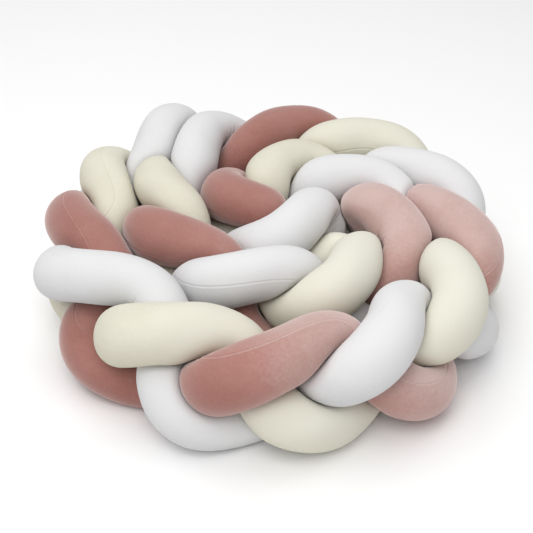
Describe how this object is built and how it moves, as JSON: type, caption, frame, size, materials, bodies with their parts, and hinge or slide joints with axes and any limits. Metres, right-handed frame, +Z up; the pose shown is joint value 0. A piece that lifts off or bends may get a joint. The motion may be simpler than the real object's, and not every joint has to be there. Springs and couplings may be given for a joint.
{
  "type": "braided crib bumper",
  "caption": "Braided crib bumper of stuffed velvet tubes in white, cream and rose, coiled up on its lower edge.",
  "frame": {"origin": "on the floor, under the middle of the coil's box", "axes": "+Z up, out of the floor; -Y towards the side where the outer turn lies lowest in view; +X to the right of it"},
  "size_m": [0.5674, 0.5705, 0.1668],
  "materials": {
    "velvet_white": "short-pile velvet, white",
    "velvet_cream": "short-pile velvet, cream",
    "velvet_rose": "short-pile velvet, dusty rose"
  },
  "bodies": {
    "root": {"strand_white": "velvet_white", "strand_cream": "velvet_cream", "strand_rose": "velvet_rose"}
  },
  "joints": []
}
